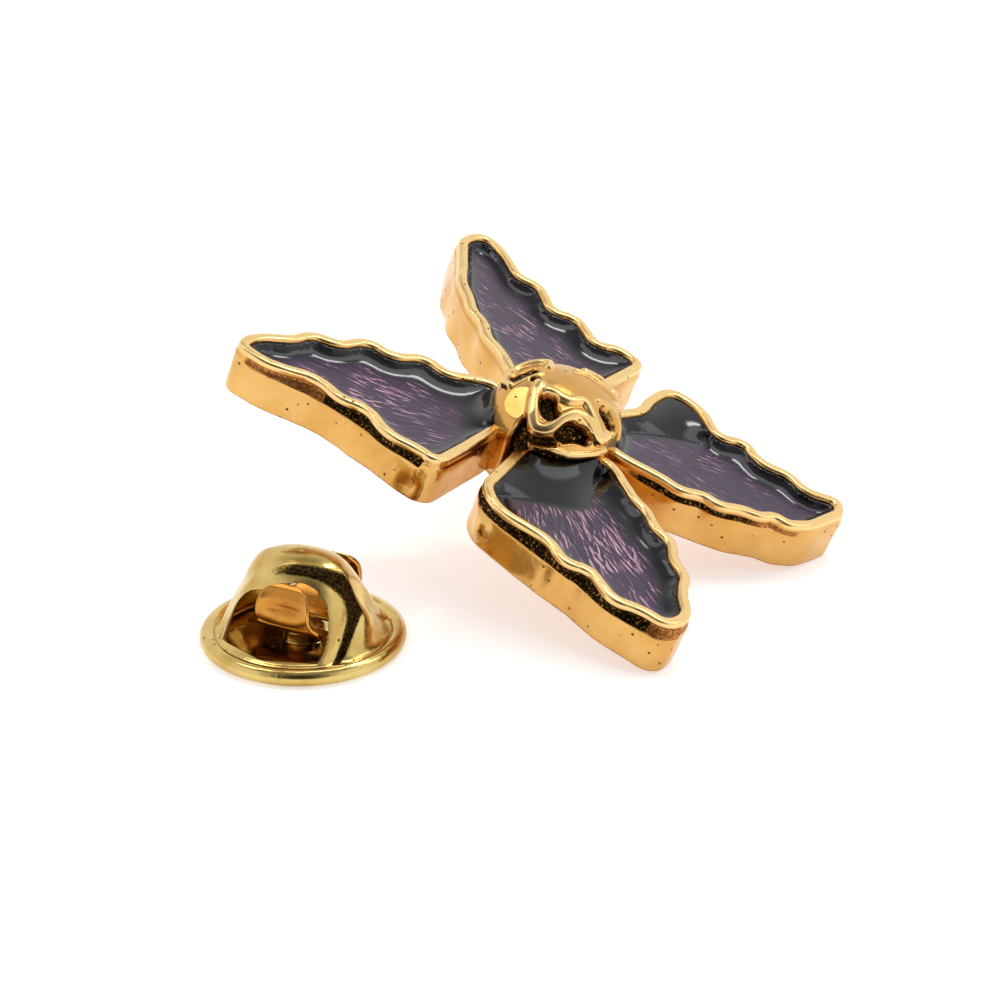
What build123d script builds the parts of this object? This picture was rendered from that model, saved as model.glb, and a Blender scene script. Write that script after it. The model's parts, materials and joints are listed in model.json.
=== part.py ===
from build123d import *
import math
import os

# Butterfly lapel brooch with its clutch taken off and lying beside it.
# The brooch is built flat in its own frame, face up: origin on the back under the middle of the
# body, X to its right, Y towards the front wings, Z out of its face. It is then leaned on its post
# and turned, and the clutch is set down beside it.

# Wings, all lengths in mm
HALF_SPAN = 12.6        # body axis to the front wings' tips, on the middle line of the rim
FRONT_REACH = 15.6      # cross line through the body to the front wings' tips
REAR_REACH = 15.3       # cross line through the body to the rear wings' tips
CASTING_HEIGHT = 3.3    # back face to the top of the rim
RIM_WIDTH = 0.66        # width of the rounded rim
RIM_HEIGHT = 0.45       # upright part of the rim, above the sloping ledge
RIM_ROUND = 0.26        # radius along the rim's two upper edges
LEDGE_DROP = 0.55       # height of the sloping ledge under the rim
WALL_STEP = 0.10        # how far the wall stands out from the rim
SCALLOP_SWING = 0.60    # how far a full scallop's corner lies off the plain line
LEDGE_WAVE = 0.30       # share of the scallops that is left where the ledge meets the wall
FOOT_WAVE = 0.12        # share of the scallops that is left at the back face
CORNER_SHARE = 0.45     # share of the shorter side that a corner's rounding takes
LEAST_ROUND = 0.10      # least radius of any corner

# Enamel
POCKET_DEPTH = 1.30     # rim top to the floor of the recess
ENAMEL_SINK = 0.45      # rim top to the enamel's surface
ENAMEL_GAP = 0.04       # clearance between enamel and metal

# Body
BODY_HALF_WIDTH = 4.50  # hub that the wings run into, across the brooch
BODY_HALF_LENGTH = 4.00
BODY_SHIFT = 0.20       # middle of the hub, in front of the cross line
BODY_RISE = 2.70        # rim top to the top of the dome
RIDGE_WIDTH = 0.45      # width of the raised ribbon round each hollow
RIDGE_RISE = 0.20       # how far the ribbon stands out of the dome
HOLLOW_DEPTH = 0.55     # depth of each hollow below the dome

# Post
POST_RADIUS = 0.55
POST_LENGTH = 6.27      # back face to the tip
POST_POINT = 1.20       # length of the tapered point
POST_TIP_RADIUS = 0.15

# Clutch
CLUTCH_RADIUS = 5.94
CLUTCH_HEIGHT = 5.40
PLATE_THICKNESS = 0.40  # base plate
ROLL_RADIUS = 0.50      # rolled edge of the base plate, half its height
ROLL_LIP = 0.80         # how far in the roll's lip hangs over the cap's flange
SHEET = 0.30            # metal thickness of the cap
FLANGE_EDGE = 5.35      # radius of the cap's flange
FOOT_RADIUS = 4.75      # outside of the cap at its foot
SHOULDER_RADIUS = 3.45  # outside of the cap at its shoulder
SHOULDER_HEIGHT = 3.70
CROWN_RADIUS = 2.00     # flat crown
CAP_ROUND = 1.10        # radius of the cap's bends
HOLE_RADIUS = 0.70      # hole for the post
COLLAR_RADIUS = 1.30    # small collar round that hole
COLLAR_HEIGHT = 1.10    # underside to the collar's top
WINDOW_WIDTH = 6.50
WINDOW_SILL = 0.95      # underside to the bottom of each window
WINDOW_TOP = 4.95       # underside to the top of each window's arch
WINDOW_ROUND = 2.30     # corner radius of the arch
SPRING_THICKNESS = 0.30
SPRING_WIDTH = 3.00
SPRING_FLAT = 1.60      # axis to where the strip starts to rise
EAR_REACH = 4.10        # axis to the outer bend of each ear
EAR_BEND = 2.60         # underside to that bend
EAR_TOP = 4.40          # underside to the top bend of each ear
EAR_LIP = 2.80          # axis to the lip of each ear
EAR_LIP_HEIGHT = 3.75   # underside to that lip
EAR_ROUND = 0.45        # radius of the strip's bends
FIT_GAP = 0.05          # clearance between the clutch's pieces

# Where the clutch lies, from the line of the brooch's rear feet, and how its windows are turned
CLUTCH_ACROSS = -18.2
CLUTCH_FORWARD = 18.9
CLUTCH_TURN = 7.2       # degrees

# Rim corners of each wing, from the body round the tip and back to the body. The casting is made by
# hand, so its left and right wings differ a little. Left wings are listed as if on the right.
# Columns: across as a share of HALF_SPAN, along as a share of FRONT_REACH or REAR_REACH, and swing,
# how far the corner stands outward (+) or inward (-) of the plain line, as a share of SCALLOP_SWING.
FRONT_RIGHT = [
    (0.095, 0.224, 0.0),
    (0.159, 0.327, 0.3),
    (0.230, 0.423, -0.5),
    (0.248, 0.519, 0.6),
    (0.352, 0.580, -0.6),
    (0.382, 0.667, 0.6),
    (0.472, 0.735, -0.6),
    (0.540, 0.818, 0.5),
    (0.650, 0.878, -0.5),
    (0.905, 1.022, 0.0),
    (1.044, 1.000, 0.0),
    (0.992, 0.859, 0.2),
    (0.881, 0.724, -0.8),
    (0.929, 0.628, 0.9),
    (0.794, 0.490, -1.0),
    (0.881, 0.391, 0.9),
    (0.770, 0.244, -1.0),
    (0.873, 0.160, 0.2),
    (0.865, 0.051, 0.0),
    (0.238, 0.058, 0.0),
]
FRONT_LEFT = [
    (0.020, 0.271, 0.0),
    (0.091, 0.362, 0.2),
    (0.206, 0.433, -0.6),
    (0.195, 0.555, 0.8),
    (0.350, 0.622, -0.9),
    (0.360, 0.744, 0.8),
    (0.528, 0.785, -0.7),
    (0.583, 0.885, 0.5),
    (0.706, 0.900, -0.4),
    (0.857, 0.981, 0.0),
    (0.964, 0.975, 0.0),
    (0.960, 0.846, 0.3),
    (0.833, 0.686, -0.9),
    (0.857, 0.558, 0.7),
    (0.794, 0.462, -0.9),
    (0.857, 0.317, 0.8),
    (0.813, 0.205, -0.3),
    (0.806, 0.108, 0.0),
    (0.238, 0.115, 0.0),
]
REAR_LEFT = [
    (-0.024, -0.229, 0.0),
    (0.139, -0.471, -0.4),
    (0.159, -0.542, 0.3),
    (0.234, -0.627, -0.4),
    (0.246, -0.706, 0.5),
    (0.357, -0.778, -0.4),
    (0.405, -0.863, 0.5),
    (0.516, -0.902, -0.3),
    (0.627, -1.018, 0.0),
    (0.762, -1.002, 0.0),
    (0.794, -0.863, -0.6),
    (0.865, -0.771, 0.7),
    (0.778, -0.621, -0.9),
    (0.849, -0.536, 0.8),
    (0.782, -0.418, -0.8),
    (0.821, -0.235, 0.4),
    (0.800, -0.145, 0.0),
    (0.735, -0.078, 0.0),
    (0.238, -0.016, 0.0),
]
REAR_RIGHT = [
    (0.071, -0.216, 0.0),
    (0.147, -0.464, -0.3),
    (0.151, -0.549, 0.3),
    (0.230, -0.614, -0.4),
    (0.234, -0.693, 0.5),
    (0.325, -0.758, -0.4),
    (0.365, -0.830, 0.4),
    (0.437, -0.863, -0.3),
    (0.444, -0.928, 0.3),
    (0.556, -0.984, 0.0),
    (0.786, -1.013, 0.0),
    (0.853, -0.967, 0.0),
    (0.766, -0.850, -0.6),
    (0.806, -0.758, 0.6),
    (0.742, -0.627, -0.9),
    (0.821, -0.516, 0.9),
    (0.714, -0.438, -0.9),
    (0.841, -0.275, 0.5),
    (0.825, -0.127, 0.0),
    (0.651, -0.121, 0.0),
    (0.516, -0.150, 0.0),
    (0.238, -0.059, 0.0),
]

# Hollows of the body's ribbon relief, on the left and mirrored to the right.
# Columns: direction in degrees from +X, height as a share of BODY_RISE, length along the body's
# girth and radius, both as shares of BODY_HALF_WIDTH.
SIDE_HOLLOWS = [
    (109, 0.68, 0.26, 0.085),
    (190, 0.76, 0.12, 0.20),
    (225, 0.50, 0.36, 0.17),
]
# The one hollow on the body axis, at the rear. Same columns, its length runs down the dome.
REAR_HOLLOW = (270, 0.62, 0.20, 0.11)


def corner_points(table, reach, grow, wave):
    """Corners and radii of a wing outline moved outward by grow, with a share of its scallops."""
    base = [(across * HALF_SPAN, along * reach) for across, along, _ in table]
    count = len(base)
    turn = math.copysign(1.0, sum(base[i - 1][0] * base[i][1] - base[i][0] * base[i - 1][1]
                                  for i in range(count)))

    def outward(start, end):
        dx, dy = end[0] - start[0], end[1] - start[1]
        length = math.hypot(dx, dy)
        return turn * dy / length, -turn * dx / length

    corners = []
    for i, (x, y) in enumerate(base):
        nx, ny = outward(base[i - 1], base[(i + 1) % count])
        swing = table[i][2] * (wave - 1) * SCALLOP_SWING
        corners.append((x + nx * swing, y + ny * swing))
    moved, radii = [], []
    for i, (x, y) in enumerate(corners):
        before, after = corners[i - 1], corners[(i + 1) % count]
        n1, n2 = outward(before, (x, y)), outward((x, y), after)
        facing = 1.0 + n1[0] * n2[0] + n1[1] * n2[1]
        moved.append((x + (n1[0] + n2[0]) * grow / facing, y + (n1[1] + n2[1]) * grow / facing))
        convex = turn * (n1[0] * n2[1] - n1[1] * n2[0]) > 0
        half_turn = math.tan(0.5 * math.acos(max(-1.0, min(1.0, facing - 1.0))))
        side = min(math.dist(before, (x, y)), math.dist((x, y), after))
        radius = CORNER_SHARE * side / half_turn + (grow if convex else -grow)
        radii.append(max(radius, LEAST_ROUND))
    return moved, radii


def wing_face(table, reach, height, grow, wave):
    """Flat face of a wing outline: straight runs joined by tangent arcs."""
    points, radii = corner_points(table, reach, grow, wave)
    return Pos(0, 0, height) * make_face(FilletPolyline(*points, radius=radii, close=True).edges())


def wing_tray(table, reach):
    """One wing of the casting: drafted wall, sloping ledge and rounded rim round a recess."""
    half_rim = RIM_WIDTH / 2
    neck = CASTING_HEIGHT - RIM_HEIGHT
    foot_face = wing_face(table, reach, 0, half_rim + WALL_STEP, FOOT_WAVE)
    ledge_face = wing_face(table, reach, neck - LEDGE_DROP, half_rim + WALL_STEP, LEDGE_WAVE)
    neck_face = wing_face(table, reach, neck, half_rim, 1.0)
    tray = loft([foot_face, ledge_face], ruled=True) + loft([ledge_face, neck_face], ruled=True)
    recess = extrude(wing_face(table, reach, CASTING_HEIGHT - POCKET_DEPTH, -half_rim, 1.0),
                     2 * POCKET_DEPTH)
    rim = extrude(neck_face, RIM_HEIGHT) - recess
    rim = fillet(rim.edges().group_by(Axis.Z)[-1], RIM_ROUND)
    return tray - recess + rim


def body_ellipse(grow):
    """Plan outline of the hub, moved outward by grow."""
    return Pos(0, BODY_SHIFT) * Ellipse(BODY_HALF_WIDTH + grow, BODY_HALF_LENGTH + grow)


def enamel_fill(table, reach):
    """Enamel of one wing, filling its recess up to below the rim and round the hub."""
    floor = CASTING_HEIGHT - POCKET_DEPTH + ENAMEL_GAP
    level = CASTING_HEIGHT - ENAMEL_SINK
    pool = extrude(wing_face(table, reach, floor, -RIM_WIDTH / 2 - ENAMEL_GAP, 1.0), level - floor)
    hub = Pos(0, 0, floor) * extrude(body_ellipse(ENAMEL_GAP), CASTING_HEIGHT)
    return pool - hub


def dome_point(direction, height_share, inward):
    """Point on the dome, sunk inward along its normal."""
    angle = math.radians(direction)
    reach = BODY_HALF_WIDTH * math.sqrt(1 - height_share ** 2)
    rise = BODY_RISE * height_share
    normal = Vector(reach / BODY_HALF_WIDTH ** 2, rise / BODY_RISE ** 2).normalized()
    out = reach - normal.X * inward
    narrowing = BODY_HALF_LENGTH / BODY_HALF_WIDTH
    return Vector(out * math.cos(angle), out * math.sin(angle) * narrowing,
                  rise - normal.Y * inward)


def capsule(start, end, radius):
    """Round-ended rod between two points."""
    line = end - start
    rod = Solid.make_cylinder(radius, line.length, Plane(start, z_dir=line))
    return Part() + [rod, Pos(*start) * Sphere(radius), Pos(*end) * Sphere(radius)]


def hollow_and_ridge(direction, height_share, length_share, radius_share, down=False):
    """Round-bottomed hollow in the dome and the raised ribbon round it."""
    radius = radius_share * BODY_HALF_WIDTH
    half = 0.5 * length_share
    if down:
        ends = [(direction, height_share + half), (direction, height_share - half)]
    else:
        spread = math.degrees(half / math.sqrt(1 - height_share ** 2))
        ends = [(direction - spread, height_share), (direction + spread, height_share)]
    wide = radius + RIDGE_WIDTH
    hollow = capsule(*[dome_point(d, h, HOLLOW_DEPTH - radius) for d, h in ends], radius)
    ridge = capsule(*[dome_point(d, h, wide - RIDGE_RISE) for d, h in ends], wide)
    return hollow, ridge


def body():
    """Hub and dome, with the ribbon relief of ridges and hollows."""
    arc = EllipticalCenterArc((0, 0), BODY_HALF_WIDTH, BODY_RISE, start_angle=0, arc_size=90)
    sides = Polyline((0, BODY_RISE), (0, -CASTING_HEIGHT), (BODY_HALF_WIDTH, -CASTING_HEIGHT),
                     (BODY_HALF_WIDTH, 0))
    dome = revolve(Plane.XZ * make_face([*arc.edges(), *sides.edges()]), Axis.Z)
    dome = scale(dome, by=(1, BODY_HALF_LENGTH / BODY_HALF_WIDTH, 1))
    hollows, ridges = [], []
    for row in SIDE_HOLLOWS:
        hollow, ridge = hollow_and_ridge(*row)
        hollows += [hollow, mirror(hollow, Plane.YZ)]
        ridges += [ridge, mirror(ridge, Plane.YZ)]
    hollow, ridge = hollow_and_ridge(*REAR_HOLLOW, down=True)
    return Pos(0, BODY_SHIFT, CASTING_HEIGHT) * (dome + ridges + ridge - hollows - hollow)


def post():
    """Straight pin post with a tapered point, standing out of the back."""
    straight = POST_LENGTH - POST_POINT
    root = CASTING_HEIGHT - POCKET_DEPTH
    profile = Polyline((0, root), (POST_RADIUS, root), (POST_RADIUS, -straight),
                       (POST_TIP_RADIUS, -POST_LENGTH), (0, -POST_LENGTH), close=True)
    return revolve(Plane.XZ * make_face(profile.edges()), Axis.Z)


def brooch_casting():
    """Four trays, body and post as one casting."""
    trays = [
        wing_tray(FRONT_RIGHT, FRONT_REACH),
        wing_tray(REAR_RIGHT, REAR_REACH),
        mirror(wing_tray(FRONT_LEFT, FRONT_REACH), Plane.YZ),
        mirror(wing_tray(REAR_LEFT, REAR_REACH), Plane.YZ),
    ]
    return Part() + [*trays, body(), post()]


def disc(radius, low, high):
    """Upright cylinder about the clutch's axis between two heights."""
    return Pos(0, 0, low) * extrude(Circle(radius), high - low)


def clutch_base():
    """Round plate with a collared hole for the post and a rolled edge over the cap's flange."""
    roll_middle = CLUTCH_RADIUS - ROLL_RADIUS
    roll_height = 2 * ROLL_RADIUS
    seat_top = PLATE_THICKNESS + SHEET + 2 * FIT_GAP
    plate = disc(roll_middle, 0, PLATE_THICKNESS) + disc(COLLAR_RADIUS, 0, COLLAR_HEIGHT)
    roll = Pos(0, 0, ROLL_RADIUS) * Torus(roll_middle, ROLL_RADIUS)
    roll -= disc(FLANGE_EDGE + FIT_GAP, PLATE_THICKNESS, seat_top)
    roll -= disc(CLUTCH_RADIUS - ROLL_LIP, PLATE_THICKNESS, roll_height)
    return plate + roll - disc(HOLE_RADIUS, 0, COLLAR_HEIGHT)


def bell(inset):
    """Solid under the cap's outside, moved in by inset."""
    low = PLATE_THICKNESS + FIT_GAP
    high = CLUTCH_HEIGHT - inset
    outside = FilletPolyline((FOOT_RADIUS - inset, low), (SHOULDER_RADIUS - inset, SHOULDER_HEIGHT),
                             (CROWN_RADIUS - inset / 2, high), (0, high),
                             radius=CAP_ROUND - inset)
    closing = Polyline((0, high), (0, low), (FOOT_RADIUS - inset, low))
    return revolve(Plane.XZ * make_face([*outside.edges(), *closing.edges()]), Axis.Z)


def clutch_cap():
    """Pressed bell with a flange, a flat crown and two opposite arched windows."""
    low = PLATE_THICKNESS + FIT_GAP
    arch = Pos(0, (WINDOW_SILL + WINDOW_TOP) / 2) * Rectangle(WINDOW_WIDTH, WINDOW_TOP - WINDOW_SILL)
    arch = fillet(arch.vertices().group_by(Axis.Y)[-1], WINDOW_ROUND)
    windows = extrude(Plane.XZ * arch, CLUTCH_RADIUS, both=True)
    shell = bell(0) + disc(FLANGE_EDGE, low, low + SHEET) - bell(SHEET)
    return shell - windows


def clutch_spring():
    """Spring strip across the clutch, its two ends curled into ears in the windows."""
    level = COLLAR_HEIGHT + FIT_GAP + SPRING_THICKNESS / 2
    half = [(SPRING_FLAT, level), (EAR_REACH, EAR_BEND), (EAR_REACH, EAR_TOP),
            (EAR_LIP, EAR_LIP_HEIGHT)]
    other = [(-along, height) for along, height in reversed(half)]
    middle_line = FilletPolyline(*other, *half, radius=EAR_ROUND)
    outline = offset(middle_line, SPRING_THICKNESS / 2, side=Side.BOTH)
    strip = extrude(Plane.YZ * make_face(outline.edges()), SPRING_WIDTH / 2, both=True)
    return strip - disc(HOLE_RADIUS, 0, CLUTCH_HEIGHT)


def rear_feet():
    """How far behind the post's axis the rear feet end."""
    step = RIM_WIDTH / 2 + WALL_STEP
    feet = [wing_face(table, REAR_REACH, 0, step, FOOT_WAVE) for table in (REAR_LEFT, REAR_RIGHT)]
    return -min(foot.bounding_box().min.Y for foot in feet)


def placements():
    """Places of the brooch, leaning on its post's tip, and of the clutch standing beside it."""
    feet = rear_feet()
    lean = math.degrees(math.atan2(POST_LENGTH, feet - POST_TIP_RADIUS))
    back, drop = feet * math.cos(math.radians(lean)), feet * math.sin(math.radians(lean))
    brooch = Pos(0, 0, drop) * Rot(0, 0, 90) * Rot(lean, 0, 0)
    clutch = Pos(back - CLUTCH_FORWARD, CLUTCH_ACROSS, 0) * Rot(0, 0, CLUTCH_TURN)
    return brooch, clutch


def pieces():
    """Every piece by its node name, with the origin at the middle of the footprint."""
    brooch, clutch = placements()
    shapes = {
        "brooch_casting": brooch * brooch_casting(),
        "enamel_front_right": brooch * enamel_fill(FRONT_RIGHT, FRONT_REACH),
        "enamel_front_left": brooch * mirror(enamel_fill(FRONT_LEFT, FRONT_REACH), Plane.YZ),
        "enamel_rear_right": brooch * enamel_fill(REAR_RIGHT, REAR_REACH),
        "enamel_rear_left": brooch * mirror(enamel_fill(REAR_LEFT, REAR_REACH), Plane.YZ),
        "clutch_base": clutch * clutch_base(),
        "clutch_cap": clutch * clutch_cap(),
        "clutch_spring": clutch * clutch_spring(),
    }
    box = Compound(list(shapes.values())).bounding_box()
    to_origin = Pos(-box.center().X, -box.center().Y, -box.min.Z)
    return {name: to_origin * shape for name, shape in shapes.items()}


if __name__ == "__main__":
    os.makedirs("parts", exist_ok=True)
    for name, shape in pieces().items():
        export_step(shape, f"parts/{name}.step")
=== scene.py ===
import cmath
import json
import math

import bmesh
import bpy
import numpy as np
from mathutils import Matrix, Vector, geometry, noise


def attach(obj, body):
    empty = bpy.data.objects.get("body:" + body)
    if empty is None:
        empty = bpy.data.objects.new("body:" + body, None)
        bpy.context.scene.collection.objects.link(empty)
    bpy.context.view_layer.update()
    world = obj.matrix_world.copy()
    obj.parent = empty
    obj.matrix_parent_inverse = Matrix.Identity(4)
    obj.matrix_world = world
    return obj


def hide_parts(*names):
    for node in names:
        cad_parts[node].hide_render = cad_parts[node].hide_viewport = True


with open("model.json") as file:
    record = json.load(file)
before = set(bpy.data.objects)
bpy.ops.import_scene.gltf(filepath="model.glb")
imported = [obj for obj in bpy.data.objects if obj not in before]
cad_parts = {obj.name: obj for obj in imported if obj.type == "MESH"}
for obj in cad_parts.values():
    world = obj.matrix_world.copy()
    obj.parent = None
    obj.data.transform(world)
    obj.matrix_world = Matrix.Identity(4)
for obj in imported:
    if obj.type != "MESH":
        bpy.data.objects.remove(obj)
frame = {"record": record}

bl_info = {
    "name": "Butterfly Brooch",
    "version": (1, 0, 0),
    "blender": (4, 5, 0),
    "location": "View3D > Sidebar > Brooch",
    "description": "Builds a cast enamelled butterfly brooch and its spring clutch",
    "category": "Add Mesh",
}

MM = 0.001
BLACK, WHITE = (0, 0, 0, 1), (1, 1, 1, 1)

# Where the brooch and its clutch are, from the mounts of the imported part.
MOUNTS = {mount["name"]: mount for mount in frame["record"]["mounts"]}
BACKWARD = Vector(MOUNTS["post"]["axis"])
BACK_CENTRE = (Vector(MOUNTS["post"]["pos_m"])
               - BACKWARD * MOUNTS["post"]["dims"]["length_mm"] * MM / 2)
LEAN = math.asin(-BACKWARD.x)
CLUTCH_CENTRE = Vector(MOUNTS["clutch_hole"]["pos_m"][:2] + [0.0])
CLUTCH_TURN = math.radians(7.2)

# Wing outlines on the middle line of the rim, in shares that follow the part's to about 0.3 mm:
# across, along and how far the corner swings with the scallops. Left wings are given as if right.
HALF_SPAN = 12.6
SCALLOP_SWING = 0.60
CORNER_SHARE = 0.45
LEAST_ROUND = 0.10
FRONT_REACH = 15.6
REAR_REACH = 15.3
ARC_STEPS, RUN_STEPS = 8, 5
FRONT_RIGHT = [
    (0.095, 0.224, 0.0), (0.159, 0.327, 0.3), (0.230, 0.423, -0.5), (0.262, 0.512, 0.6),
    (0.352, 0.580, -0.6), (0.382, 0.667, 0.6), (0.472, 0.735, -0.6), (0.540, 0.818, 0.5),
    (0.650, 0.878, -0.5), (0.880, 1.021, 0.0), (1.034, 0.994, 0.0), (0.992, 0.859, 0.2),
    (0.881, 0.724, -0.8), (0.929, 0.628, 0.9), (0.794, 0.490, -1.0), (0.881, 0.391, 0.9),
    (0.770, 0.244, -1.0), (0.873, 0.160, 0.2), (0.865, 0.051, 0.0), (0.238, 0.058, 0.0),
]
FRONT_LEFT = [
    (0.020, 0.271, 0.0), (0.091, 0.362, 0.2), (0.206, 0.433, -0.6), (0.195, 0.555, 0.8),
    (0.350, 0.622, -0.9), (0.360, 0.744, 0.8), (0.528, 0.785, -0.7), (0.583, 0.885, 0.5),
    (0.706, 0.900, -0.4), (0.868, 0.988, 0.0), (0.982, 0.984, 0.0), (0.974, 0.852, 0.3),
    (0.833, 0.686, -0.9), (0.857, 0.558, 0.7), (0.794, 0.462, -0.9), (0.857, 0.317, 0.8),
    (0.813, 0.205, -0.3), (0.806, 0.108, 0.0), (0.238, 0.115, 0.0),
]
REAR_LEFT = [
    (-0.024, -0.229, 0.0), (0.139, -0.471, -0.4), (0.159, -0.542, 0.3), (0.234, -0.627, -0.4),
    (0.246, -0.706, 0.5), (0.357, -0.778, -0.4), (0.405, -0.863, 0.5), (0.516, -0.902, -0.3),
    (0.639, -0.996, 0.0), (0.774, -0.982, -0.9), (0.796, -0.860, -0.6), (0.865, -0.771, 0.7),
    (0.778, -0.621, -0.9), (0.849, -0.536, 0.8), (0.782, -0.418, -0.8), (0.821, -0.235, 0.4),
    (0.790, -0.150, 0.0), (0.720, -0.086, 0.0), (0.238, -0.016, 0.0),
]
REAR_RIGHT = [
    (0.071, -0.216, 0.0), (0.147, -0.464, -0.3), (0.151, -0.549, 0.3), (0.230, -0.614, -0.4),
    (0.234, -0.693, 0.5), (0.325, -0.758, -0.4), (0.365, -0.830, 0.4), (0.437, -0.863, -0.3),
    (0.444, -0.928, 0.3), (0.556, -0.984, 0.0), (0.786, -1.013, 0.0), (0.853, -0.967, 0.0),
    (0.766, -0.850, -0.6), (0.806, -0.758, 0.6), (0.742, -0.627, -0.9), (0.821, -0.516, 0.9),
    (0.714, -0.438, -0.9), (0.841, -0.275, 0.5), (0.825, -0.127, 0.0), (0.651, -0.121, 0.0),
    (0.516, -0.150, 0.0), (0.238, -0.059, 0.0),
]
WINGS = {
    "front_left": (FRONT_LEFT, FRONT_REACH, -1),
    "front_right": (FRONT_RIGHT, FRONT_REACH, 1),
    "rear_left": (REAR_LEFT, REAR_REACH, -1),
    "rear_right": (REAR_RIGHT, REAR_REACH, 1),
}

# Section of a wing's rim from the back face to the recess, where there is a ledge under the bead
# and where the bead runs straight into the wall. For both: height, distance outside the rim's
# middle line and share of the scallops; last, how dark and grainy the plate is painted: painted
# shade on the ledge under the bead and on the recess walls, and darker near the back face as
# well; below 0, how much paler it is painted, as a painted highlight on the bead's top.
RIM_TOP = 3.3
RIM_SECTION = [
    (0.00, 0.24, 0.12, 0.00, 0.24, 0.12, 0.5), (0.01, 0.34, 0.12, 0.01, 0.34, 0.12, 0.60),
    (0.07, 0.405, 0.12, 0.07, 0.405, 0.12, 0.58), (0.20, 0.43, 0.13, 0.20, 0.43, 0.14, 0.40),
    (0.55, 0.44, 0.15, 0.55, 0.44, 0.22, 0.0), (0.95, 0.45, 0.18, 0.95, 0.445, 0.33, 0.0),
    (1.35, 0.46, 0.21, 1.35, 0.45, 0.46, 0.0), (1.75, 0.47, 0.24, 1.75, 0.455, 0.60, 0.0),
    (2.05, 0.48, 0.27, 2.10, 0.455, 0.72, 0.0), (2.18, 0.485, 0.29, 2.38, 0.455, 0.83, 0.0),
    (2.25, 0.475, 0.30, 2.50, 0.45, 0.88, 0.2), (2.30, 0.445, 0.32, 2.56, 0.445, 0.90, 0.9),
    (2.36, 0.395, 0.36, 2.60, 0.44, 0.92, 1.0), (2.43, 0.34, 0.43, 2.64, 0.435, 0.94, 1.0),
    (2.51, 0.28, 0.52, 2.68, 0.425, 0.95, 1.0), (2.59, 0.225, 0.63, 2.71, 0.415, 0.96, 1.0),
    (2.67, 0.19, 0.75, 2.74, 0.405, 0.97, 1.0), (2.74, 0.185, 0.86, 2.77, 0.395, 0.98, 1.0),
    (2.79, 0.22, 0.94, 2.80, 0.39, 0.99, 0.9), (2.83, 0.28, 0.99, 2.84, 0.385, 1.0, 0.5),
    (2.88, 0.325, 1.0, 2.90, 0.385, 1.0, 0.0), (2.97, 0.345, 1.0, 2.98, 0.38, 1.0, -0.5),
    (3.08, 0.350, 1.0, 3.08, 0.37, 1.0, -1.0), (3.165, 0.335, 1.0, 3.165, 0.345, 1.0, -1.0),
    (3.225, 0.295, 1.0, 3.225, 0.30, 1.0, -1.0), (3.262, 0.225, 1.0, 3.262, 0.23, 1.0, -1.0),
    (3.278, 0.12, 1.0, 3.278, 0.125, 1.0, -1.0),
]
# From the bead's top inward both sections are the same: height, distance, and the painted shade,
# which below 0 is painted highlight.
RIM_SECTION += [(height, out, 1.0) * 2 + (missed,) for height, out, missed in (
    (3.284, 0.0, -1.0), (3.278, -0.12, -1.0), (3.256, -0.21, -1.0), (3.205, -0.275, -0.5),
    (3.12, -0.315, 0.0), (2.98, -0.33, 0.6), (2.75, -0.335, 1.0), (2.40, -0.335, 1.0),
    (2.00, -0.335, 1.0))]
# Along each outline: corner number, how deep the ledge is there, and how dark the shade painted on
# the ledge is.
LEDGES = {
    "front_left": [(0, 0.3, 0.6), (9, 0.2, 0.6), (10, 0.0, 0.62), (11, 0.75, 0.66), (12, 1.0, 0.7),
                   (13, 1.0, 1.0), (16, 0.85, 1.0), (17, 0.05, 0.9), (18, 0.0, 0.6)],
    "front_right": [(0, 0.0, 0.5), (9, 0.0, 0.5), (12, 0.3, 0.8), (16, 0.3, 0.8), (18, 0.0, 0.6),
                    (19, 0.0, 0.5)],
    "rear_left": [(0, 0.0, 0.6), (1, 0.2, 0.8), (7, 0.2, 0.8), (8, 0.35, 0.6), (9, 0.8, 0.7),
                  (10, 1.0, 1.0), (16, 1.0, 1.0), (17, 0.35, 0.9), (18, 0.0, 0.6)],
    "rear_right": [(0, 0.1, 0.9), (1, 0.45, 0.95), (8, 0.22, 0.9), (10, 0.05, 0.7),
                   (12, 0.3, 0.8), (18, 0.3, 0.8), (20, 0.0, 0.6), (21, 0.0, 0.6)],
}
# Dents in the left walls near the body: place on the brooch, radius and depth.
DENTS = [((-10.6, 2.7, 0.8), 0.60, 0.20), ((-10.6, -2.6, 1.3), 0.80, 0.24)]
# Section of the post below the body: radius and height.
POST_SECTION = [
    (0.55, 2.0), (0.55, 0.6), (0.60, 0.25), (0.72, 0.02), (0.72, -0.02), (0.60, -0.2),
    (0.55, -0.5), (0.55, -2.5), (0.55, -4.9), (0.53, -5.1), (0.47, -5.35), (0.35, -5.75),
    (0.20, -6.15), (0.15, -6.23), (0.10, -6.265),
]
# Underside of the enamel, and how many times its surface is averaged until it has settled.
ENAMEL_FLOOR = 2.04
SETTLE_STEPS = 420
# Creases where the rear enamel folds up towards the body: line on the brooch, then the far side.
CREASES = {
    "rear_left": ([(-8.9, -1.5), (-8.0, -2.5), (-6.8, -3.6), (-5.9, -4.5), (-4.5, -5.5),
                   (-2.8, -5.0), (-0.3, -4.1), (1.0, -3.7)],
                  [(3.0, 0.0), (-3.0, 3.0), (-12.0, 1.0)]),
    "rear_right": ([(4.5, -2.6), (5.6, -3.4), (6.8, -4.5), (7.7, -5.4), (8.6, -6.1), (10.2, -6.3)],
                   [(14.0, -6.0), (14.0, 2.0), (3.0, 2.0), (3.0, -1.0)]),
}
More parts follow.
